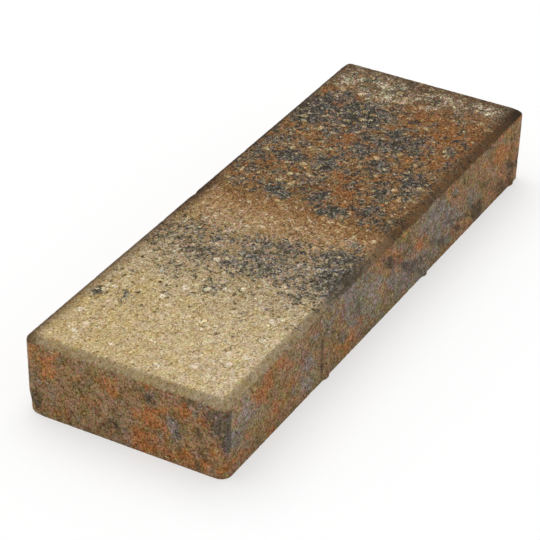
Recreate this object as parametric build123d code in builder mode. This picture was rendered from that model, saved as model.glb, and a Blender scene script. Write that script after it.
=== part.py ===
from build123d import *
import os

# Driving dimensions in millimetres: X along the paver, Y across it, Z up from its bed face
LENGTH = 450.0
WIDTH = 152.0           # between the two long side faces, without the lugs
HEIGHT = 60.0
CORNER_RADIUS = 8.0     # the four upright corners
CHAMFER = 5.0           # 45 degree bevel all round the wearing face

# Spacer lugs, the low upright bars on the long sides that hold the sand joint open
LUG_WIDTH = 8.0
LUG_PROUD = 1.5
LUG_PITCH = 150.0
LUG_CORNER_GAP = 3.0    # flat side face left between a corner's curve and the first lug
LUG_HEAD_GAP = 6.0      # side face left between a lug's head and the chamfer
LUG_RUN_OUT = 6.0       # height over which a lug's head slopes back into the side face

# The row of lugs starts beside one corner and steps along the side as far as the other
lug_top = HEIGHT - CHAMFER - LUG_HEAD_GAP
first_lug = LENGTH / 2 - CORNER_RADIUS - LUG_CORNER_GAP - LUG_WIDTH / 2
lug_count = int(2 * first_lug // LUG_PITCH) + 1
lug_row = [(0, first_lug - place * LUG_PITCH) for place in range(lug_count)]

# One lug, standing on the bed plane and facing +X: a shallow round bar with a sloping head
with BuildPart() as lug:
    with BuildSketch():
        with BuildLine():
            crown = ThreePointArc((0, -LUG_WIDTH / 2), (LUG_PROUD, 0), (0, LUG_WIDTH / 2))
            Line(crown @ 1, crown @ 0)
        make_face()
    extrude(amount=lug_top)
    with BuildSketch(Plane.XZ):
        with BuildLine():
            Polyline(
                (0, lug_top),
                (LUG_PROUD, lug_top - LUG_RUN_OUT),
                (LUG_PROUD, lug_top),
                close=True,
            )
        make_face()
    extrude(amount=LUG_WIDTH, both=True, mode=Mode.SUBTRACT)

# The paver is cast in one piece: a rounded block, its bevelled wearing face and its lugs.
# The rows on the two sides match when the block is turned end for end, so that the lugs
# of neighbours interleave.
with BuildPart() as paver:
    with BuildSketch():
        RectangleRounded(LENGTH, WIDTH, CORNER_RADIUS)
    extrude(amount=HEIGHT)
    wearing_face = paver.faces().sort_by(Axis.Z)[-1]
    chamfer(wearing_face.edges(), length=CHAMFER)
    with PolarLocations(WIDTH / 2, 2, start_angle=-90):
        with Locations(*lug_row):
            add(lug.part)
paver.part.label = "paver"

os.makedirs("parts", exist_ok=True)
export_step(paver.part, "parts/paver.step")
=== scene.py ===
"""Dresses the concrete plank paver: a worn cast block, its blended concrete and a plain studio."""

import logging
import math
from collections.abc import Iterable
from dataclasses import dataclass
from enum import Enum
from typing import Any, Union

import bmesh
import bpy
from mathutils import Matrix, Vector, noise


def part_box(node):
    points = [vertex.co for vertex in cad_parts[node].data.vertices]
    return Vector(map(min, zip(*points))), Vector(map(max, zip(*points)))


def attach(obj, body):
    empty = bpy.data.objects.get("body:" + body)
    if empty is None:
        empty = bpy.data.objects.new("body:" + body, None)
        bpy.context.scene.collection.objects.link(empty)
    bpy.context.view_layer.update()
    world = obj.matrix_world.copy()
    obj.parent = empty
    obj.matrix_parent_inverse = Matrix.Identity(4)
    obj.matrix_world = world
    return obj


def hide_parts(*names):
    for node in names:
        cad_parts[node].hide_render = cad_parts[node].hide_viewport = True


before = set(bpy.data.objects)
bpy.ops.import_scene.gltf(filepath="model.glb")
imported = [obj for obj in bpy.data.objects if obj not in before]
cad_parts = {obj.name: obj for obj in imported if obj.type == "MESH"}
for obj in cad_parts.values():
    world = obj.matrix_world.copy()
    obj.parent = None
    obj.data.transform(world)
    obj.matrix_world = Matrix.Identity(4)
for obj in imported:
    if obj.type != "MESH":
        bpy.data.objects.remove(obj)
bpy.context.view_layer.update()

MM = 0.001
log = logging.getLogger("paver")

Colour = tuple[float, float, float, float]
Span = tuple[float, float]
Run = tuple[Span, ...]


class Tone(Enum):
    """The colours of the mix, as sRGB bytes under the studio's light."""

    SAND = (198, 172, 123)
    SAND_PINK = (203, 179, 136)
    SAND_GREY = (177, 155, 118)
    BUFF = (161, 134, 95)
    GOLD = (165, 130, 88)
    UMBER = (140, 99, 57)
    RUST_BROWN = (131, 96, 54)
    ORANGE = (139, 84, 32)
    SPARK = (186, 104, 40)
    CREAM = (232, 217, 183)
    TAN_GRAIN = (208, 182, 134)
    # The bevel's colour: greyer stone and painted shade.
    GREY_BEVEL_AND_SHADE = (138, 122, 100)
    WEATHERED = (112, 92, 70)
    ASH = (114, 112, 106)
    # Painted shade in the pits between grains.
    PIT_SHADE = (40, 29, 19)
    # Darker towards the edges of the wearing face.
    EDGE_DARK = (90, 63, 34)
    # Painted shade along the left bevel, near black, also used for the dark spots.
    NEAR_BLACK_SHADE = (42, 26, 13)
    SIDE_BROWN = (156, 122, 86)
    SIDE_RUST = (184, 113, 56)
    SIDE_GREY = (135, 125, 112)
    SIDE_OLIVE = (136, 116, 72)
    # Dark mottling on the sides, also the painted shadows beside the lugs.
    SIDE_DARK = (78, 63, 47)
    SIDE_SLATE = (76, 73, 68)
    SIDE_PALE = (204, 178, 148)
    BOUNCE = (225, 225, 225)
    PAPER = (255, 255, 255)
    BLACK = (0, 0, 0)

    @property
    def linear(self) -> Colour:
        """The tone as a linear colour with full alpha."""
        red, green, blue = (to_linear(byte / 255) for byte in self.value)
        return (red, green, blue, 1.0)


def to_linear(channel: float) -> float:
    """Turns one sRGB channel, from 0 to 1, into linear light."""
    dark = channel <= 0.04045
    return channel / 12.92 if dark else ((channel + 0.055) / 1.055) ** 2.4


class Signal:
    """A shader socket that takes part in Python arithmetic."""

    def __init__(self, recipe: "Recipe", socket: bpy.types.NodeSocket) -> None:
        """Keeps the socket and the recipe that its node belongs to."""
        self.recipe = recipe
        self.socket = socket

    def _math(self, operation: str, *values: "Value") -> "Signal":
        """Adds one Math node over the given values."""
        return self.recipe.node("ShaderNodeMath", {"operation": operation}, dict(enumerate(values)))

    def __add__(self, other: "Value") -> "Signal":
        """This value plus another."""
        return self._math("ADD", self, other)

    def __radd__(self, other: "Value") -> "Signal":
        """Another value plus this one."""
        return self._math("ADD", other, self)

    def __sub__(self, other: "Value") -> "Signal":
        """This value less another."""
        return self._math("SUBTRACT", self, other)

    def __rsub__(self, other: "Value") -> "Signal":
        """Another value less this one."""
        return self._math("SUBTRACT", other, self)

    def __mul__(self, other: "Value") -> "Signal":
        """This value times another."""
        return self._math("MULTIPLY", self, other)

    def __rmul__(self, other: "Value") -> "Signal":
        """Another value times this one."""
        return self._math("MULTIPLY", other, self)

    def __neg__(self) -> "Signal":
        """The value with its sign changed."""
        return 0.0 - self

    def __abs__(self) -> "Signal":
        """The value without its sign."""
        return self._math("ABSOLUTE", self)

    def least(self, other: "Value") -> "Signal":
        """The smaller of two values."""
        return self._math("MINIMUM", self, other)

    def most(self, other: "Value") -> "Signal":
        """The larger of two values."""
        return self._math("MAXIMUM", self, other)


Value = Union[Signal, float]


class Recipe:
    """One material's node tree, grown a node at a time."""

    def __init__(self, name: str) -> None:
        """Starts an empty material.

        Args:
            name: The material's name.
        """
        self.material = bpy.data.materials.new(name)
        self.material.use_nodes = True
        self.tree = self.material.node_tree
        self.tree.nodes.clear()

    def node(
        self,
        kind: str,
        settings: dict[str, Any] | None = None,
        inputs: dict[int | str, Any] | None = None,
        output: int | str = 0,
    ) -> Signal:
        """Adds any node.

        Args:
            kind: The node's type name.
            settings: Its own properties, with a ramp's stops under "stops".
            inputs: Values or signals for its sockets, by index or name.
            output: The socket that the returned signal reads.

        Returns:
            The chosen output of the new node.
        """
        made = self.tree.nodes.new(kind)
        for name, setting in (settings or {}).items():
            if name == "stops":
                self._set_stops(made.color_ramp, setting)
            else:
                setattr(made, name, setting)
        for key, value in (inputs or {}).items():
            if isinstance(value, Signal):
                self.tree.links.new(value.socket, made.inputs[key])
            else:
                made.inputs[key].default_value = value
        return Signal(self, made.outputs[output] if made.outputs else None)

    @staticmethod
    def _set_stops(ramp: bpy.types.ColorRamp, stops: list[tuple[float, Colour]]) -> None:
        """Gives a colour ramp its stops.

        Args:
            ramp: The ramp, as it is when new.
            stops: Each stop's place and colour, in order along the ramp.
        """
        while len(ramp.elements) < len(stops):
            ramp.elements.new(1.0)
        for element, (position, colour) in zip(ramp.elements, stops):
            element.position = position
            element.color = colour

    def place(self) -> Signal:
        """The point being shaded, in the paver's own frame, in metres."""
        return self.node("ShaderNodeTexCoord", output="Object")

    def axes(self, vector: Signal) -> tuple[Signal, Signal, Signal]:
        """Splits a vector into its three parts."""
        split = self.node("ShaderNodeSeparateXYZ", inputs={0: vector})
        return tuple(Signal(self, output) for output in split.socket.node.outputs)

    def noise(self, at: Signal, size: float, detail: float = 2.0, roughness: float = 0.5) -> Signal:
        """Cloudy noise about zero, from about -0.5 to 0.5.

        Args:
            at: Where it is read.
            size: The width of its largest clouds, in metres.
            detail: How many finer layers it has.
            roughness: How strong the finer layers are.

        Returns:
            The noise.
        """
        cloud = self.node(
            "ShaderNodeTexNoise",
            {"noise_dimensions": "3D"},
            {"Vector": at, "Scale": 1 / size, "Detail": detail, "Roughness": roughness},
        )
        return cloud - 0.5

    def grains(self, at: Signal, size: float) -> "Grains":
        """Packed grains of about one size.

        Args:
            at: Where they are read.
            size: The grains' spacing, in metres.

        Returns:
            The grains' shape and what each one draws by chance.
        """
        settings = {"voronoi_dimensions": "3D", "feature": "F1"}
        inputs = {"Vector": at, "Scale": 1 / size}
        far = self.node("ShaderNodeTexVoronoi", settings, inputs, "Distance")
        colour = Signal(self, far.socket.node.outputs["Color"])
        split = self.node("ShaderNodeSeparateColor", inputs={0: colour})
        draws = [Signal(self, output) for output in split.socket.node.outputs]
        return Grains(far, *draws)

    def stir(self, at: Signal, size: float, reach: float) -> Signal:
        """Shifts where a pattern is read, so that its shapes come out uneven.

        Args:
            at: Where the pattern would be read.
            size: The width of the swirls, in metres.
            reach: How far the swirls carry a point, in metres.

        Returns:
            Where to read it instead.
        """
        swirl = self.node(
            "ShaderNodeTexNoise",
            {"noise_dimensions": "3D"},
            {"Vector": at, "Scale": 1 / size, "Detail": 1.0},
            "Color",
        )
        return self.node(
            "ShaderNodeVectorMath",
            {"operation": "MULTIPLY_ADD"},
            {0: swirl, 1: (4 * reach, 4 * reach, 4 * reach), 2: at},
        )

    def rise(self, value: Value, start: float, end: float) -> Signal:
        """A smooth step from 0 where the value is at start to 1 where it is at end."""
        return self.node(
            "ShaderNodeMapRange",
            {"interpolation_type": "SMOOTHSTEP"},
            {"Value": value, "From Min": start, "From Max": end},
        )

    def towards(self, value: Signal, edge: float, reach: Span) -> Signal:
        """A rise towards an edge, from the reach's first distance short of it to its second."""
        start, full = reach
        return self.rise(value, edge - start, edge - full)

    def ramp(self, value: Signal, stops: Iterable[tuple[float, Tone]]) -> Signal:
        """A run of tones along a value from 0 to 1."""
        colours = [(position, tone.linear) for position, tone in stops]
        return self.node("ShaderNodeValToRGB", {"stops": colours}, {0: value})

    def levels(self, value: Signal, run: Run) -> Signal:
        """A run of plain numbers from 0 to 1 along a value from 0 to 1."""
        greys = [(position, (level, level, level, level)) for position, level in run]
        return self.node("ShaderNodeValToRGB", {"stops": greys}, {0: value}, "Alpha")

    def mix(self, share: Value, first: Signal | Colour, second: Signal | Colour, **settings: Any) -> Signal:
        """Blends the second colour over the first by a share from 0 to 1."""
        inputs = {0: share, 6: first, 7: second}
        return self.node("ShaderNodeMix", {"data_type": "RGBA", **settings}, inputs, 2)

    def coats(self, colour: Signal | Colour, *coats: tuple[Value, Tone]) -> Signal:
        """Lays tones over a colour, one after another.

        Args:
            colour: What they are laid over.
            coats: Each tone with its share from 0 to 1, which comes first.

        Returns:
            The coated colour.
        """
        for share, tone in coats:
            colour = self.mix(share, colour, tone.linear)
        return colour

    def dim(self, colour: Signal, gain: Value) -> Signal:
        """Multiplies a colour by a number."""
        return self.mix(gain, Tone.BLACK.linear, colour, clamp_factor=False)

    def tint(self, colour: Signal, share: Value, first: Colour, second: Colour) -> Signal:
        """Multiplies a colour by a blend of two gains, whose share may run past 0 and 1."""
        gain = self.mix(share, first, second, clamp_factor=False)
        return self.mix(1.0, colour, gain, blend_type="MULTIPLY")

    def spot(self, at: Signal, patch: "Patch") -> Signal:
        """A patch as a mask, from its strength at the middle to 0 at its rim.

        Args:
            at: Where it is read.
            patch: The patch.

        Returns:
            The mask.
        """
        local = self.node(
            "ShaderNodeMapping",
            {"vector_type": "TEXTURE"},
            {
                "Vector": at,
                "Location": (patch.x * MM, patch.y * MM, patch.z * MM),
                "Rotation": (0.0, math.radians(patch.lean), math.radians(patch.turn)),
                "Scale": (patch.along * MM, patch.across * MM, patch.tall * MM),
            },
        )
        ball = self.node("ShaderNodeTexGradient", {"gradient_type": "SPHERICAL"}, {0: local}, "Fac")
        return ball * patch.strength

    def spots(self, at: Signal, patches: Iterable["Patch"]) -> Signal:
        """The strongest of several patches at each point.

        Args:
            at: Where they are read.
            patches: The patches, at least one.

        Returns:
            The mask.
        """
        total: Signal | None = None
        for patch in patches:
            mask = self.spot(at, patch)
            total = mask if total is None else total.most(mask)
        return total


@dataclass(frozen=True)
class Grains:
    """Packed grains: how far a point is from its grain's middle, and three draws from 0 to 1."""

    far: Signal
    chance: Signal
    second: Signal
    third: Signal


@dataclass(frozen=True)
class Patch:
    """A charge of pigment in the mix, in millimetres in the paver's frame.

    x, y and z are its middle, and along, across and tall its half sizes. It is turned in
    degrees about the upright axis, and leans over in degrees along the length. Left at its
    height and half height, it goes right through the block.
    """

    x: float
    y: float
    along: float
    across: float
    strength: float = 1.0
    turn: float = 0.0
    z: float = 60.0
    tall: float = 400.0
    lean: float = 0.0

    @classmethod
    def right(
        cls, x: float, z: float, along: float, tall: float, strength: float, lean: float = 0.0
    ) -> "Patch":
        """A patch on the right side."""
        return cls(x, -76, along, 14, strength, z=z, tall=tall, lean=lean)

    @classmethod
    def left(
        cls, x: float, z: float, along: float, tall: float, strength: float, lean: float = 0.0
    ) -> "Patch":
        """A patch on the left side."""
        return cls(x, 76, along, 14, strength, z=z, tall=tall, lean=lean)

    @classmethod
    def near(cls, y: float, z: float, across: float, tall: float, strength: float) -> "Patch":
        """A patch on the near end."""
        return cls(-225, y, 8, across, strength, z=z, tall=tall)

    @classmethod
    def far(cls, y: float, z: float, across: float, tall: float, strength: float) -> "Patch":
        """A patch on the far end."""
        return cls(225, y, 14, across, strength, z=z, tall=tall)


@dataclass(frozen=True)
class Ground:
    """What the concrete is at the point being shaded.

    crumb and cloud are its fine and coarse unevenness, jitter is the light and dark of single
    grains, and wander bends its borders. share is how far along the block the point is, from 0
    to 1, with the batches' uneven fronts. mixed is 1 past the sandy end, flaky in the rust batch,
    on_top on the wearing face and on_side below the bevel.
    """

    recipe: Recipe
    paver: "Paver"
    at: Signal
    x: Signal
    y: Signal
    z: Signal
    sand: Grains
    grit: Grains
    stones: Grains
    crumb: Signal
    cloud: Signal
    pit: Signal
    glint: Signal
    jitter: Signal
    wander: Signal
    share: Signal
    mixed: Signal
    flaky: Signal
    on_top: Signal
    on_side: Signal


@dataclass(frozen=True)
class BlendedConcrete:
    """Pressed concrete from blended batches: sand at one end, a charcoal streak, then rust.

    A span says where a mask sets in and where it is full, and a run how much there is of
    something at places along the block. A reach is a span counted back from an edge.
    """

    sand_grain: float = 1.2 * MM
    grit_grain: float = 2.6 * MM
    stone_grain: float = 5.8 * MM
    clump: float = 9 * MM
    pour_slope: float = 32.0
    pour_stretch: tuple[float, float, float] = (2.4, 1.0, 1.0)
    roughness: float = 0.88
    specular: float = 0.3
    bump_depth: float = 0.6 * MM
    bump_strength: float = 0.9
    deepest_shade: float = -0.6
    crease_foot: float = 4.4 * MM
    crease_slope: float = 0.05
    even_gain: Colour = (1.0, 1.0, 1.0, 1.0)
    grey_gain: Colour = (1.83, 2.02, 2.4, 1.0)
    pink_gain: Colour = (1.08, 0.93, 1.06, 1.0)
    green_gain: Colour = (0.92, 1.07, 0.94, 1.0)
    cool_gain: Colour = (0.97, 1.0, 1.14, 1.0)
    warm_gain: Colour = (1.03, 1.0, 0.86, 1.0)

    # Places along the block, from 0 at the sandy end to 1
    blend_span: Span = (0.12, 0.32)
    mixed_span: Span = (0.25, 0.33)
    tan_grain_span: Span = (0.34, 0.46)
    flaky_span: Span = (0.5, 0.55)
    frost_span: Span = (0.86, 0.92)

    # Distances from the wearing face's edge and below it, in widths of the bevel
    top_span: Span = (0.7, 1.25)
    side_span: Span = (0.85, 1.25)

    # Draws and noise that pick out single grains
    pit_span: Span = (0.125, 0.19)
    # Painted glints: small bright flecks read off the pit noise.
    glint_span: Span = (-0.13, -0.22)
    bright_sand_span: Span = (0.75, 1.0)
    pebble_span: Span = (0.96, 0.97)
    stone_span: Span = (0.9, 0.91)
    stone_rim: Span = (0.55, 0.4)
    spark_span: Span = (0.985, 0.99)
    strewn_span: Span = (0.92, 0.94)
    side_pebble_span: Span = (0.94, 0.98)

    # Amounts of pigment at which it starts to show and covers
    sand_pink_span: Span = (-40 * MM, 40 * MM)
    coal_span: Span = (0.41, 0.51)
    ash_span: Span = (0.15, 0.55)
    rust_span: Span = (0.2, 0.65)
    pale_span: Span = (0.35, 0.65)
    side_olive_span: Span = (-0.2, 0.4)
    side_rust_span: Span = (0.05, 0.65)
    side_grey_span: Span = (0.1, 0.65)
    side_dark_span: Span = (0.3, 1.0)
    stain_span: Span = (0.2, 0.8)

    left_darkening_reach: Span = (15 * MM, 4 * MM)
    right_darkening_reach: Span = (14 * MM, 4 * MM)
    far_darkening_reach: Span = (20 * MM, 7 * MM)
    # Painted shade along the left bevel.
    left_rim_shade_reach: Span = (6.2 * MM, 4.6 * MM)
    crease_reach: Span = (0.4 * MM, -0.4 * MM)

    batch_run: tuple[tuple[float, Tone], ...] = (
        (0.25, Tone.SAND_GREY),
        (0.37, Tone.BUFF),
        (0.455, Tone.GOLD),
        (0.495, Tone.UMBER),
        (0.52, Tone.RUST_BROWN),
        (0.88, Tone.RUST_BROWN),
        (0.93, Tone.WEATHERED),
    )
    coal_run: Run = (
        (0.0, 0.0), (0.14, 0.12), (0.2, 0.28), (0.275, 0.44), (0.31, 0.64), (0.375, 0.66),
        (0.42, 0.45), (0.46, 0.22), (0.5, 0.15), (0.53, 0.65), (0.82, 0.65), (0.92, 0.55),
    )
    busy_run: Run = (
        (0.1, 0.2), (0.25, 0.42), (0.48, 0.6), (0.55, 0.95),
        (0.75, 0.95), (0.82, 0.8), (0.88, 0.8), (0.94, 1.0),
    )
    left_darkening_run: Run = (
        (0.0, 0.7), (0.3, 0.65), (0.37, 0.5), (0.43, 0.95),
        (0.51, 1.0), (0.56, 0.4), (0.9, 0.35),
    )
    right_darkening_run: Run = ((0.36, 0.0), (0.42, 0.25), (0.5, 0.3), (0.56, 0.5), (0.7, 0.5), (0.8, 0.7))
    left_rim_shade_run: Run = ((0.3, 0.4), (0.5, 0.9))
    strewn_run: Run = ((0.08, 0.0), (0.16, 0.9), (0.44, 0.9), (0.5, 0.2), (0.55, 0.0))
    rust_run: Run = ((0.5, 0.0), (0.55, 1.0), (0.86, 1.0), (0.93, 0.25))

    charcoal: tuple[Patch, ...] = (
        Patch(-54, -70, 44, 30, 0.55, 6),
        Patch(-60, -34, 36, 34, 0.1),
        Patch(-36, -58, 22, 32, 0.7),
        Patch(-20, -60, 16, 18, 0.55),
        Patch(-26, -30, 14, 18, 0.35),
        Patch(-40, -18, 16, 24, 0.4),
        Patch(-46, -4, 16, 18, 0.3),
        Patch(-66, -16, 24, 28, 0.2),
        Patch(-84, 26, 20, 30, 0.15),
        Patch(-82, -2, 16, 18, 0.2),
        Patch(-94, -54, 28, 24, 0.25),
        Patch(-72, -28, 20, 20, 0.2),
        Patch(-108, 30, 18, 18, 0.25),
        Patch(-154, 44, 16, 14, 0.65),
        Patch(-157, 62, 16, 12, 0.6),
        Patch(-135, 20, 20, 16, 0.35),
        Patch(-114, 0, 18, 14, 0.4),
        Patch(-136, -12, 10, 8, 0.4),
        Patch(20, 26, 16, 14, 0.5),
        Patch(10, -24, 14, 18, 0.5),
        Patch(30, -6, 16, 12, 0.3),
        Patch(26, -47, 18, 12, 0.35),
        Patch(44, 12, 14, 16, 0.4),
        Patch(70, 42, 16, 14, 0.6),
        Patch(72, 10, 18, 12, 0.6),
        Patch(58, -42, 20, 12, 0.4),
        Patch(76, -53, 20, 14, 0.5),
        Patch(98, 4, 16, 16, 0.45),
        Patch(90, -22, 16, 12, 0.35),
        Patch(60, 62, 50, 20, 0.2),
        Patch(140, 56, 30, 28, 0.7),
        Patch(150, 24, 36, 28, 0.7),
        Patch(158, 54, 26, 22, 0.5),
        Patch(124, 32, 20, 16, 0.4),
        Patch(118, -2, 20, 14, 0.35),
        Patch(128, -16, 30, 16, 0.38, 25),
        Patch(132, -34, 20, 16, 0.3),
    )
    # Near-black spots: painted shade at the chip on the left edge, and the darkened far right corner and
    # right edge.
    dark_spots: tuple[Patch, ...] = (
        Patch(218, -76, 34, 18, 0.9),
        Patch(-8, 78, 38, 17, 0.8),
        Patch(-52, -76, 40, 10, 0.15),
    )
    rusty: tuple[Patch, ...] = (
        Patch(154, -52, 60, 38, 0.6),
        Patch(178, -30, 40, 30, 0.35),
        Patch(110, 14, 26, 22, 0.45),
        Patch(45, -14, 34, 24, 0.3),
        Patch(22, -36, 18, 14, 0.35),
        Patch(36, 56, 24, 16, 0.3),
        Patch(155, 40, 24, 8, 0.5),
    )
    pale: tuple[Patch, ...] = (
        Patch(182, 22, 22, 16, 0.6),
        Patch(198, 54, 26, 14, 0.45),
        Patch(198, 28, 20, 18, 0.45),
        Patch(190, 0, 20, 18, 0.4),
        Patch(200, -28, 16, 14, 0.42),
        Patch(206, -55, 16, 14, 0.5),
        Patch(170, 26, 12, 12, 0.4),
        Patch(-45, 26, 18, 18, 0.45),
        Patch(-30, 50, 24, 18, 0.35),
        Patch(-16, -56, 16, 14, 0.25),
        Patch(58, -62, 14, 12, 0.4),
    )
    side_rust: tuple[Patch, ...] = (
        Patch.right(-180, 44, 26, 15, 0.7),
        Patch.right(-150, 47, 18, 12, 0.6, 20),
        Patch.right(-164, 12, 18, 16, 0.7),
        Patch.right(-62, 12, 26, 13, 0.45),
        Patch.right(6, 45, 38, 13, 0.9, 28),
        Patch.right(48, 31, 26, 8, 0.7, 38),
        Patch.right(107, 42, 26, 10, 0.75, 32),
        Patch.right(192, 36, 44, 28, 0.6),
        Patch.near(60, 43, 20, 20, 0.6),
        Patch.near(-22, 27, 17, 24, 0.75),
        Patch.near(-16, 10, 18, 18, 0.85),
        Patch.near(13, 44, 12, 14, 0.5),
        Patch.near(-52, 46, 18, 16, 0.5),
        Patch.near(-54, 8, 28, 18, 0.6),
        Patch.left(-124, 36, 44, 18, 0.8, -25),
        Patch.left(34, 24, 44, 16, 0.8, -25),
        Patch.left(156, 40, 38, 18, 0.8, -25),
        Patch.far(30, 22, 34, 22, 0.7),
    )
    side_grey: tuple[Patch, ...] = (
        Patch.right(-204, 38, 24, 36, 0.7),
        Patch.right(-118, 24, 30, 26, 0.5, 30),
        Patch.right(-42, 34, 66, 34, 1.0, 25),
        Patch.right(34, 16, 70, 26, 0.95, 30),
        Patch.right(82, 34, 52, 38, 1.1, 25),
        Patch.right(130, 28, 24, 14, 0.35, 30),
        Patch.near(-36, 26, 18, 20, 0.45),
        Patch.near(-64, 44, 16, 18, 0.4),
        Patch.left(-62, 26, 60, 28, 0.75, -25),
        Patch.left(92, 30, 52, 28, 0.75, -25),
        Patch.left(-192, 26, 32, 30, 0.6),
        Patch.far(-30, 32, 34, 28, 0.65),
    )
    side_dark_and_lug_shadows: tuple[Patch, ...] = (
        Patch.near(66, 8, 18, 22, 0.8),
        Patch.near(10, 10, 18, 14, 0.7),
        Patch.near(-16, 46, 12, 12, 0.5),
        Patch.near(-56, 24, 26, 40, 0.3),
        Patch.near(-47, 46, 14, 12, 0.6),
        Patch.right(24, 27, 42, 12, 1.1, 30),
        Patch.right(112, 12, 28, 14, 1.0, 30),
        # Painted shadows: thin dark strips beside the three lugs on the right side.
        Patch.right(-97, 22, 4, 36, 0.8),
        Patch.right(53, 22, 4, 30, 0.6),
        Patch.right(203, 22, 4, 36, 0.9),
        Patch.right(100, 30, 60, 40, 0.35),
        Patch.right(204, 4, 44, 30, 1.2),
        Patch.right(136, 8, 54, 26, 0.65),
        Patch.left(-16, 10, 34, 20, 0.7),
        Patch.left(204, 6, 34, 26, 0.9),
        Patch.far(66, 10, 24, 30, 0.8),
    )
    side_pale: tuple[Patch, ...] = (
        Patch.right(-206, 46, 22, 18, 1.0),
        Patch.right(-184, 24, 22, 16, 0.7),
        Patch.right(-20, 26, 30, 20, 0.8, 30),
        Patch.right(-114, 12, 20, 16, 0.7, 30),
        Patch.right(-135, 46, 26, 14, 0.6),
    )
    corner_stain: tuple[Patch, ...] = (
        Patch(-222, -74, 24, 15, 1.5, z=41, tall=18),
        Patch(-222, -64, 24, 16, 1.0, z=47, tall=10),
        Patch(-222, -78, 24, 10, 1.5, z=28, tall=14),
    )

    def make(self, paver: "Paver") -> bpy.types.Material:
        """Mixes the concrete for one paver.

        Args:
            paver: The block, whose faces the colours follow.

        Returns:
            The finished material.
        """
        here = self._ground(paver)
        recipe = here.recipe
        colour = recipe.mix(here.on_side, self._top(here), self._sides(here))
        surface = recipe.node(
            "ShaderNodeBsdfPrincipled",
            inputs={
                "Base Color": self._cast(here, colour),
                "Roughness": self.roughness + 0.2 * here.crumb,
                "Specular IOR Level": self.specular,
                "Normal": self._relief(here),
            },
        )
        recipe.node("ShaderNodeOutputMaterial", inputs={"Surface": surface})
        return recipe.material

    def _ground(self, paver: "Paver") -> Ground:
        """Starts the material with what the rest of it reads.

        Args:
            paver: The block.

        Returns:
            The grains, the batches and the faces at the point being shaded.
        """
        recipe = Recipe("concrete")
        at = recipe.place()
        x, y, z = recipe.axes(at)
        loose = recipe.stir(at, 2 * self.sand_grain, 0.35 * self.sand_grain)
        sand = recipe.grains(loose, self.sand_grain)
        grit = recipe.grains(loose, self.grit_grain)
        crumb = recipe.noise(at, self.sand_grain, 2.0)
        hollow = recipe.noise(at, 1.9 * self.sand_grain, 2.0)
        wander = recipe.noise(at, self.clump, 3.0)
        front = 0.06 * recipe.noise(at, 4 * self.clump, 2.0) + 0.03 * wander
        share = x * (1 / paver.length) + 0.5 + front
        inset = (paver.length / 2 - abs(x)).least(paver.width / 2 - abs(y))
        inset = inset + paver.chamfer * (0.25 * wander + 0.15 * (sand.third - 0.5))
        drop = paver.height - z + paver.chamfer * (0.35 * wander + 0.15 * (grit.chance - 0.5))
        return Ground(
            recipe=recipe,
            paver=paver,
            at=at,
            x=x,
            y=y,
            z=z,
            sand=sand,
            grit=grit,
            stones=recipe.grains(loose, self.stone_grain),
            crumb=crumb,
            cloud=recipe.noise(at, 1.4 * self.clump, 3.0, 0.6),
            pit=recipe.rise(hollow, *self.pit_span),
            glint=recipe.rise(hollow, *self.glint_span),
            jitter=0.8 * (sand.chance - 0.5) + 0.3 * (grit.third - 0.5) + 2.2 * crumb,
            wander=wander,
            share=share,
            mixed=recipe.rise(share, *self.mixed_span),
            flaky=recipe.rise(share, *self.flaky_span),
            on_top=recipe.rise(inset, *(paver.chamfer * widths for widths in self.top_span)),
            on_side=recipe.rise(drop, *(paver.chamfer * widths for widths in self.side_span)),
        )

    def _top(self, here: Ground) -> Signal:
        """The wearing face and its bevel.

        Args:
            here: The point being shaded.

        Returns:
            The colour: the batches, their grains, the darkening at the edges and the painted shade of the
                left bevel, then the light, the dark, the bevel's painted shade and the painted shade in the
                pits.
        """
        recipe = here.recipe
        flaky = here.flaky
        on_top = here.on_top
        batch, coal = self._batches(here)
        tan = recipe.rise(here.share, *self.tan_grain_span)
        grain_tone = recipe.mix(tan, Tone.CREAM.linear, Tone.TAN_GRAIN.linear)
        face = recipe.mix(self._light_grains_and_glints(here, coal), batch, grain_tone)
        spark = recipe.rise(here.grit.third, *self.spark_span)
        face = recipe.coats(face, (0.5 * flaky * spark, Tone.SPARK))
        # The bevel is greyer than the face: partly stone colour, partly painted shade.
        bevel = recipe.coats(batch, ((0.5 - 0.35 * flaky) * (1 - 0.5 * coal), Tone.GREY_BEVEL_AND_SHADE))
        face = recipe.mix(on_top, bevel, face)
        # Darker towards the edges of the wearing face, then the near-black painted shade of the left bevel
        # and the dark spots.
        face = recipe.coats(face, (self._edge_darkening(here), Tone.EDGE_DARK), (self._rim_shade(here), Tone.NEAR_BLACK_SHADE))
        busy = recipe.levels(here.share, self.busy_run)
        lively = 0.5 + on_top * (0.1 + 0.8 * busy + 1.3 * coal)
        # Painted shade: the bevel, where on_top falls short of 1, is darkened against the face.
        change = lively * here.jitter + (0.2 + 0.5 * busy) * here.cloud - 0.14 * (1 - on_top)
        face = self._shade(recipe, face, change)
        # Painted shade in the pits, deeper on the wearing face.
        return recipe.coats(face, ((0.45 + on_top * (0.1 + 0.2 * here.mixed)) * here.pit, Tone.PIT_SHADE))

    def _shade(self, recipe: Recipe, colour: Signal, change: Signal) -> Signal:
        """Lightens or darkens a colour by a change about zero, never quite to black."""
        return recipe.tint(colour, change.most(self.deepest_shade), self.even_gain, self.grey_gain)

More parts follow.
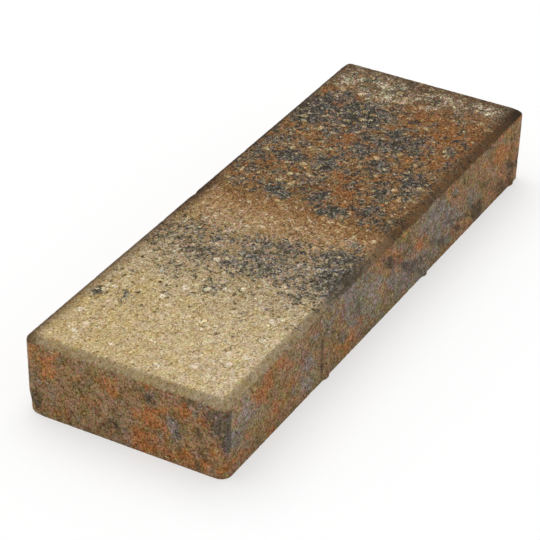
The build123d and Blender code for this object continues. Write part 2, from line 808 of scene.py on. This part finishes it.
    def _light_grains_and_glints(self, here: Ground, coal: Signal) -> Signal:
        """The light grains in the wearing face: bright sand, pebbles and stones, and small flecks of painted
        glint.

        Args:
            here: The point being shaded.
            coal: The charcoal's share there.

        Returns:
            Their share from 0 to 1.
        """
        recipe = here.recipe
        mixed = here.mixed
        stones = here.stones
        stone = recipe.rise(stones.chance - 0.03 * mixed, *self.stone_span)
        stone = stone * recipe.rise(stones.far, *self.stone_rim)
        stone = stone * (0.45 - 0.1 * mixed + 0.4 * stones.second)
        pebble = 0.5 * recipe.rise(here.grit.second, *self.pebble_span)
        light = 0.3 * recipe.rise(here.sand.second, *self.bright_sand_span)
        # Painted glints on small flecks.
        light = light.most(pebble).most(stone).most(0.35 * here.glint)
        return light * (1 - 0.2 * coal * (1 - here.flaky))

    def _edge_darkening(self, here: Ground) -> Signal:
        """The darkening along the wearing face's edges.

        Args:
            here: The point being shaded.

        Returns:
            Its share from 0 to 1.
        """
        recipe = here.recipe
        half_width = here.paver.width / 2
        # Darker towards the left, right and far edges.
        left = recipe.towards(here.y, half_width, self.left_darkening_reach)
        left = left * recipe.levels(here.share, self.left_darkening_run)
        right = recipe.towards(-here.y, half_width, self.right_darkening_reach)
        right = right * recipe.levels(here.share, self.right_darkening_run)
        far = 0.5 * recipe.towards(here.x, here.paver.length / 2, self.far_darkening_reach)
        return left.most(right).most(far)

    def _rim_shade(self, here: Ground) -> Signal:
        """Painted shade, near black, along the left bevel, and the near black at the darkest corners.

        Args:
            here: The point being shaded.

        Returns:
            Its share from 0 to 1.
        """
        recipe = here.recipe
        # Painted shade along the left bevel, seen edge-on, made ragged by noise.
        rim = recipe.towards(here.y, here.paver.width / 2, self.left_rim_shade_reach)
        rim = rim * recipe.levels(here.share, self.left_rim_shade_run)
        rim = rim * (0.85 + 1.2 * recipe.noise(here.at, self.clump, 3.0, 0.6))
        return rim.most(recipe.spots(here.at, self.dark_spots))

    def _batches(self, here: Ground) -> tuple[Signal, Signal]:
        """The blended batches of the wearing face.

        Args:
            here: The point being shaded.

        Returns:
            The colour, before the light and dark of single grains, and the charcoal's share.
        """
        recipe = here.recipe
        at = here.at
        share = here.share
        flaky = here.flaky
        chance = here.grit.chance
        clump = recipe.noise(at, self.clump, 4.0, 0.65)
        streak = recipe.noise(at, 1.3 * self.clump, 4.0, 0.65)
        ragged = (0.5 + 0.2 * flaky) * (chance - 0.5) + (0.7 - 0.2 * flaky) * (here.sand.third - 0.5)

        pink = recipe.rise(-here.y + 6 * self.clump * streak, *self.sand_pink_span)
        sandy = recipe.coats(Tone.SAND.linear, (pink, Tone.SAND_PINK))
        batch = recipe.mix(recipe.rise(share, *self.blend_span), sandy, recipe.ramp(share, self.batch_run))

        density = recipe.levels(share, self.coal_run) - 0.35 + recipe.spots(at, self.charcoal)
        density = density + (0.85 + 0.85 * flaky) * clump
        ashy = density + (0.4 - 0.25 * flaky) * (chance - 0.5) - 0.08 * flaky
        ashy = recipe.rise(ashy, *self.ash_span)
        strewn = recipe.rise(chance + 0.1 * clump, *self.strewn_span)
        strewn = strewn * recipe.levels(share, self.strewn_run)
        coal = recipe.rise(density + ragged, *self.coal_span).most(strewn)

        rusty = 0.4 * share + recipe.spots(at, self.rusty) + 2.0 * streak
        rusty = recipe.rise(rusty, *self.rust_span) * recipe.levels(share, self.rust_run)
        frost = 0.1 * recipe.rise(share, *self.frost_span)
        pale = recipe.rise(recipe.spots(at, self.pale) + frost - 2.0 * streak + ragged, *self.pale_span)

        coats = ((0.75 * rusty, Tone.ORANGE), (0.65 * pale, Tone.CREAM), (0.8 * ashy, Tone.ASH))
        coal = coal * (1 - 0.4 * pale)
        return recipe.dim(recipe.coats(batch, *coats), 1 - (0.7 + 0.04 * flaky) * coal), coal

    def _sides(self, here: Ground) -> Signal:
        """The mottled side faces.

        Args:
            here: The point being shaded.

        Returns:
            The colour: the mottling with painted shadows beside the lugs, then the light, the dark and the
                painted shade in the pits of the grains.
        """
        recipe = here.recipe
        at = here.at
        ragged = 0.12 * (here.grit.chance - 0.5) + 0.15 * (here.sand.third - 0.5)
        poured = recipe.node(
            "ShaderNodeMapping",
            {"vector_type": "TEXTURE"},
            {"Vector": at, "Rotation": (0.0, math.radians(self.pour_slope), 0.0), "Scale": self.pour_stretch},
        )
        blotch = recipe.noise(poured, 1.1 * self.clump, 4.0, 0.6)
        other = recipe.noise(poured, 1.4 * self.clump, 4.0, 0.6)
        third = recipe.noise(poured, 1.3 * self.clump, 4.0, 0.6)

        crease = here.paver.length / 2 - self.crease_foot
        on_end = recipe.towards(abs(here.x) + self.crease_slope * here.z, crease, self.crease_reach)
        stain = recipe.spots(at, self.corner_stain) + 1.6 * third + 3 * ragged
        stain = on_end * recipe.rise(stain, *self.stain_span)

        olive = recipe.rise(3.0 * third + ragged, *self.side_olive_span)
        dark = recipe.spots(at, self.side_dark_and_lug_shadows) + 2.2 * (third - blotch) + ragged
        dark = recipe.rise(dark, *self.side_dark_span)
        rust = recipe.spots(at, self.side_rust) + 2.6 * blotch + ragged
        rust = recipe.rise(rust, *self.side_rust_span)
        grey = recipe.spots(at, self.side_grey) + 2.6 * other + ragged
        grey = recipe.rise(grey, *self.side_grey_span)
        pale = 0.35 * recipe.spots(at, self.side_pale) * (1 - on_end)
        pale = pale.most(0.3 * recipe.rise(here.grit.second, *self.side_pebble_span))
        side = recipe.coats(
            Tone.SIDE_BROWN.linear,
            (0.75 * olive, Tone.SIDE_OLIVE),
            (0.7 * rust, Tone.SIDE_RUST),
            (0.85 * grey * (1 - 0.6 * rust), Tone.SIDE_GREY),
            (0.8 * dark, Tone.SIDE_DARK),
            (0.68 * stain, Tone.SIDE_SLATE),
            (pale, Tone.SIDE_PALE),
        )
        side = self._shade(recipe, side, 0.05 + 1.2 * here.jitter + 0.3 * here.cloud)
        # Painted shade in the pits.
        return recipe.coats(side, (0.5 * here.pit, Tone.PIT_SHADE))

    def _cast(self, here: Ground, colour: Signal) -> Signal:
        """Turns a colour a little warm or cool, and a little pink or green, from place to place.

        Args:
            here: The point being shaded.
            colour: The colour there.

        Returns:
            The colour with its cast.
        """
        recipe = here.recipe
        flaky = here.flaky
        on_side = here.on_side
        warmth = 0.15 * (here.sand.second - 0.5) + 0.45 * (here.grit.second - 0.5)
        warmth = warmth + 3.2 * recipe.noise(here.at, self.clump, 4.0, 0.7)
        warmth = warmth * ((1 - 0.7 * flaky) * (1 - on_side) + 1.5 * on_side)
        colour = recipe.tint(colour, warmth + 0.5, self.cool_gain, self.warm_gain)
        hue = 2.0 * recipe.noise(here.at, 0.9 * self.grit_grain, 3.0, 0.6) + 0.3 * here.wander
        hue = hue * ((1 + 0.5 * here.mixed + 0.6 * flaky) * (1 - on_side) + 3.0 * on_side)
        return recipe.tint(colour, hue + 0.5, self.pink_gain, self.green_gain)

    def _relief(self, here: Ground) -> Signal:
        """The relief of single grains.

        Args:
            here: The point being shaded.

        Returns:
            The normal.
        """
        sand = here.sand
        height = (0.6 - sand.far) + 0.6 * sand.chance + 0.5 * here.grit.third
        height = height + 0.8 * here.crumb - 0.8 * here.pit
        height = height * (0.3 + 0.7 * here.on_top)
        return here.recipe.node(
            "ShaderNodeBump",
            inputs={"Strength": self.bump_strength, "Distance": self.bump_depth, "Height": height},
        )


@dataclass(frozen=True)
class Chip:
    """A worn place on the block, in millimetres: its middle, its reach and its depth there."""

    middle: tuple[float, float, float]
    reach: float
    depth: float

    def depth_at(self, place: Vector) -> float:
        """How deep the chip is at a place."""
        gap = (place - Vector(self.middle)).length / self.reach
        return self.depth * max(0.0, 1 - gap**2) ** 2


@dataclass(frozen=True)
class Wear:
    """The sandy relief of the cast faces and their chips, in millimetres."""

    swell_width: float = 38.0
    swell_depth: float = 0.18
    sand_width: float = 2.6
    sand_depth: float = 0.22
    pit_width: float = 3.4
    pit_depth: float = 0.8
    pit_start: float = 0.3
    side_bulge: float = 0.35
    left_bulge: float = 0.6
    chips: tuple[Chip, ...] = (
        Chip((-9, 73, 58), 7, 1.9),
        Chip((-52, 75, 57), 4, 0.8),
        Chip((62, 76, 56), 4, 0.7),
        Chip((-225, 28, 56), 4, 0.7),
        Chip((-224, -34, 57), 5, 0.7),
        Chip((-150, -75, 57), 5, 0.8),
        Chip((24, -76, 56), 5, 0.9),
        Chip((132, -75, 57), 4, 0.8),
        Chip((224, 20, 57), 5, 0.9),
        Chip((-222, 73, 2), 14, 1.2),
    )

    def cut_at(self, place: Vector, normal: Vector, near: float) -> float:
        """How far a face lies inside the mould's face.

        Args:
            place: A point on the face, in millimetres.
            normal: Which way the face looks there.
            near: How far towards the near end the point is, from 0 to 1.

        Returns:
            The depth in millimetres, below zero where the face stands out.
        """
        swell = 0.5 + 0.5 * noise.noise(place / self.swell_width)
        sand = 0.5 + 0.5 * noise.noise(place / self.sand_width)
        pit = max(0.0, noise.noise(place / self.pit_width) - self.pit_start)
        cut = self.swell_depth * swell + self.sand_depth * sand + self.pit_depth * pit
        cut -= self.side_bulge * abs(normal.y)
        cut -= self.left_bulge * max(0.0, normal.y) * near
        return cut + sum(chip.depth_at(place) for chip in self.chips)


@dataclass
class Paver:
    """The cast block: its sizes in metres, and the steps that shape and dress it.

    Each upright corner has its radius at the foot and at the shoulder.
    """

    low: Vector
    high: Vector
    corner_radius: float = 8 * MM
    near_right: tuple[float, float] = (8 * MM, 5 * MM)
    near_left: tuple[float, float] = (11 * MM, 8 * MM)
    far_right: tuple[float, float] = (6 * MM, 3 * MM)
    far_left: tuple[float, float] = (8 * MM, 8 * MM)
    chamfer: float = 5 * MM
    arris_bend: float = 1.02
    arris_passes: int = 2
    lug_width: float = 8 * MM
    lug_proud: float = 1.5 * MM
    lug_pitch: float = 150 * MM
    lug_corner_gap: float = 3 * MM
    lug_head_gap: float = 6 * MM
    lug_run_out: float = 6 * MM
    cell: float = 1.25 * MM
    bevel_cells: int = 5
    skin: float = 0.1 * MM
    wear: Wear = Wear()

    @property
    def length(self) -> float:
        """The block's size along X."""
        return self.high.x - self.low.x

    @property
    def width(self) -> float:
        """The block's size along Y, without the lugs."""
        return self.high.y - self.low.y - 2 * self.lug_proud

    @property
    def height(self) -> float:
        """The block's size along Z."""
        return self.high.z - self.low.z

    def build(self) -> bpy.types.Object:
        """Shapes the block as one closed mesh.

        Returns:
            The new object, at the origin.
        """
        shape = bmesh.new()
        self._block(shape)
        self._round_corners(shape)
        self._soften_arris(shape)
        self._raise_lugs(shape)
        self._weather(shape)
        self._close_bed(shape)
        mesh = bpy.data.meshes.new("paver_block")
        shape.to_mesh(mesh)
        shape.free()
        block = bpy.data.objects.new("paver_block", mesh)
        bpy.context.collection.objects.link(block)
        return block

    def dress(self, block: bpy.types.Object) -> None:
        """Gives the block its concrete and its place in the frame.

        Args:
            block: The block's object.
        """
        block.data.materials.append(BlendedConcrete().make(self))
        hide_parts("paver")
        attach(block, "root")

    def _block(self, shape: bmesh.types.BMesh) -> None:
        """Makes a box with a bevelled top and no floor, divided into small square cells.

        Args:
            shape: The mesh under way.
        """
        bmesh.ops.create_cube(shape, size=1.0)
        bmesh.ops.translate(shape, verts=shape.verts, vec=(0, 0, 0.5))
        bmesh.ops.scale(shape, verts=shape.verts, vec=(self.length, self.width, self.height))
        floor = [face for face in shape.faces if face.normal.z < -0.5]
        bmesh.ops.delete(shape, geom=floor, context="FACES_ONLY")
        rim = [edge for edge in shape.edges if all(v.co.z > self.height / 2 for v in edge.verts)]
        bmesh.ops.bevel(
            shape,
            geom=rim,
            offset=self.chamfer,
            offset_type="OFFSET",
            segments=1,
            profile=0.5,
            affect="EDGES",
            material=-1,
        )
        slopes = [edge for edge in shape.edges if 0 < self._drop(edge) < 2 * self.chamfer]
        bmesh.ops.subdivide_edges(shape, edges=slopes, cuts=self.bevel_cells - 1)
        for axis, size in enumerate((self.length, self.width, self.height - self.chamfer)):
            runs = [edge for edge in shape.edges if self._runs_along(edge, axis)]
            bmesh.ops.subdivide_edges(shape, edges=runs, cuts=round(size / self.cell) - 1)

    @staticmethod
    def _drop(edge: bmesh.types.BMEdge) -> float:
        """How much one end of an edge lies below the other."""
        first, second = edge.verts
        return abs(first.co.z - second.co.z)

    @staticmethod
    def _runs_along(edge: bmesh.types.BMEdge, axis: int) -> bool:
        """Whether an edge runs along an axis."""
        run = edge.verts[1].co - edge.verts[0].co
        return abs(run[axis]) > 0.99 * run.length

    def _corner_radii(self, place: Vector) -> tuple[float, float]:
        """The radii of the upright corner nearest to a place.

        Args:
            place: The place.

        Returns:
            The radius at the foot and the one at the shoulder.
        """
        if place.x > 0:
            return self.far_left if place.y > 0 else self.far_right
        return self.near_left if place.y > 0 else self.near_right

    def _round_corners(self, shape: bmesh.types.BMesh) -> None:
        """Turns the four square upright corners into round ones.

        Args:
            shape: The mesh under way.
        """
        for vert in shape.verts:
            rise = min(1.0, vert.co.z / (self.height - self.chamfer))
            foot, shoulder = self._corner_radii(vert.co)
            radius = foot + (shoulder - foot) * rise
            core_x = self.length / 2 - radius
            core_y = self.width / 2 - radius
            over_x = abs(vert.co.x) - core_x
            over_y = abs(vert.co.y) - core_y
            if over_x <= 0 or over_y <= 0:
                continue
            reach = max(over_x, over_y)
            angle = math.pi / 4 * min(over_x, over_y) / reach
            if over_y > over_x:
                angle = math.pi / 2 - angle
            vert.co.x = math.copysign(core_x + reach * math.cos(angle), vert.co.x)
            vert.co.y = math.copysign(core_y + reach * math.sin(angle), vert.co.y)

    def _soften_arris(self, shape: bmesh.types.BMesh) -> None:
        """Eases the two edges of the bevel.

        Args:
            shape: The mesh under way.
        """
        shape.normal_update()
        bent = [vert for vert in shape.verts if vert.calc_shell_factor() > self.arris_bend]
        arris = [vert for vert in bent if vert.co.z > self.cell]
        for _ in range(self.arris_passes):
            bmesh.ops.smooth_vert(
                shape,
                verts=arris,
                factor=0.5,
                use_axis_x=True,
                use_axis_y=True,
                use_axis_z=True,
            )

    def _lug_height(self, place: Vector) -> float:
        """How far a lug stands out of a long side face.

        Args:
            place: A point on the face.

        Returns:
            The height there, 0 beside the lugs.
        """
        side = math.copysign(1.0, place.y)
        first = self.length / 2 - self.corner_radius - self.lug_corner_gap - self.lug_width / 2
        steps = round((first + side * place.x) / self.lug_pitch)
        if steps < 0 or steps * self.lug_pitch > 2 * first:
            return 0.0
        off = first + side * place.x - steps * self.lug_pitch
        half = self.lug_width / 2
        if abs(off) >= half:
            return 0.0
        radius = (half**2 + self.lug_proud**2) / (2 * self.lug_proud)
        crown = math.sqrt(radius**2 - off**2) - radius + self.lug_proud
        top = self.height - self.chamfer - self.lug_head_gap
        head = self.lug_proud * (top - place.z) / self.lug_run_out
        return max(0.0, min(crown, head))

    def _raise_lugs(self, shape: bmesh.types.BMesh) -> None:
        """Pushes the spacer lugs out of the two long side faces.

        Args:
            shape: The mesh under way.
        """
        flat = self.length / 2 - self.corner_radius
        for vert in shape.verts:
            on_side = abs(vert.co.y) > self.width / 2 - self.skin
            if on_side and abs(vert.co.x) < flat:
                vert.co.y += math.copysign(self._lug_height(vert.co), vert.co.y)

    def _weather(self, shape: bmesh.types.BMesh) -> None:
        """Gives the cast faces their relief and chips, and keeps them inside the lugs' box.

        Args:
            shape: The mesh under way.
        """
        shape.normal_update()
        for vert in shape.verts:
            near = 0.5 - vert.co.x / self.length
            cut = self.wear.cut_at(vert.co / MM, vert.normal, near)
            inward = -vert.normal * cut * MM
            if vert.co.z < self.skin:
                inward.z = 0.0
            vert.co += inward
            vert.co.y = max(self.low.y, min(self.high.y, vert.co.y))

    def _close_bed(self, shape: bmesh.types.BMesh) -> None:
        """Closes the bed face and sets which edges shade sharp.

        Args:
            shape: The mesh under way.
        """
        rim = [edge for edge in shape.edges if edge.is_boundary]
        bmesh.ops.holes_fill(shape, edges=rim, sides=0)
        bmesh.ops.recalc_face_normals(shape, faces=shape.faces)
        for face in shape.faces:
            face.smooth = True
        for edge in rim:
            edge.smooth = False


@dataclass(frozen=True)
class Studio:
    """A white floor under an even sky and one wide soft lamp."""

    floor_size: float = 40.0
    floor_glow: float = 0.5
    sky: float = 0.55
    lamp_level: float = 0.5
    lamp_spread: float = 60.0
    lamp_lean: tuple[float, float, float] = (0.25, 0.3, 1.0)

    def build(self) -> None:
        """Makes the floor, the lamp and the world's light."""
        self._floor()
        self._lamp()
        self._world()

    def _floor(self) -> None:
        """Lays the floor."""
        shape = bmesh.new()
        bmesh.ops.create_grid(shape, x_segments=1, y_segments=1, size=self.floor_size / 2)
        mesh = bpy.data.meshes.new("floor")
        shape.to_mesh(mesh)
        shape.free()
        mesh.materials.append(self._paper())
        floor = bpy.data.objects.new("floor", mesh)
        bpy.context.collection.objects.link(floor)

    def _paper(self) -> bpy.types.Material:
        """The floor's paper, whiter to the camera than in the light that it throws back.

        Returns:
            The finished material.
        """
        recipe = Recipe("floor_paper")
        seen = recipe.node("ShaderNodeLightPath", output="Is Camera Ray")
        paths = seen.socket.node.outputs
        for name in ("Is Glossy Ray", "Is Transmission Ray"):
            seen = seen.most(Signal(recipe, paths[name]))
        paper = recipe.mix(seen, Tone.BOUNCE.linear, Tone.PAPER.linear)
        lit = recipe.node("ShaderNodeBsdfDiffuse", inputs={"Color": paper})
        white = recipe.node("ShaderNodeEmission", inputs={"Color": Tone.PAPER.linear, "Strength": 1.0})
        surface = recipe.node("ShaderNodeMixShader", inputs={0: self.floor_glow * seen, 1: lit, 2: white})
        recipe.node("ShaderNodeOutputMaterial", inputs={"Surface": surface})
        return recipe.material

    def _lamp(self) -> None:
        """Hangs the wide lamp far over the paver."""
        light = bpy.data.lights.new("soft_lamp", "SUN")
        light.energy = self.lamp_level * math.pi
        light.angle = math.radians(self.lamp_spread)
        lamp = bpy.data.objects.new("soft_lamp", light)
        lamp.rotation_euler = Vector(self.lamp_lean).to_track_quat("Z", "Y").to_euler()
        bpy.context.collection.objects.link(lamp)

    def _world(self) -> None:
        """Fills the room with even light."""
        world = bpy.data.worlds.new("room")
        world.use_nodes = True
        sky = world.node_tree.nodes["Background"]
        sky.inputs["Color"].default_value = Tone.PAPER.linear
        sky.inputs["Strength"].default_value = self.sky
        bpy.context.scene.world = world


@dataclass(frozen=True)
class Viewpoint:
    """Where the camera stands, in degrees about the point that it looks at."""

    target: tuple[float, float, float] = (-21.88 * MM, 5.77 * MM, 21.27 * MM)
    azimuth: float = -61.588
    elevation: float = 32.471
    roll: float = 1.493
    distance: float = 1680 * MM
    lens: float = 159.235
    sensor: float = 36.0

    def build(self) -> None:
        """Sets up the camera."""
        lens = bpy.data.cameras.new("camera")
        lens.sensor_width = self.sensor
        lens.lens = self.lens
        turn = (
            Matrix.Rotation(math.radians(self.azimuth), 4, "Z")
            @ Matrix.Rotation(math.radians(90 - self.elevation), 4, "X")
            @ Matrix.Rotation(math.radians(self.roll), 4, "Z")
        )
        back = turn.to_3x3() @ Vector((0, 0, 1))
        camera = bpy.data.objects.new("camera", lens)
        camera.matrix_world = Matrix.Translation(Vector(self.target) + self.distance * back) @ turn
        bpy.context.collection.objects.link(camera)
        bpy.context.scene.camera = camera


def main() -> None:
    """Builds and dresses the paver, then the studio and the camera."""
    logging.basicConfig(level=logging.INFO, format="%(message)s")
    low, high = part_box("paver")
    paver = Paver(low, high)
    block = paver.build()
    paver.dress(block)
    log.info("paver_block: %d faces", len(block.data.polygons))
    Studio().build()
    Viewpoint().build()
    bpy.context.scene.view_settings.view_transform = "Standard"


if __name__ == "__main__":
    main()
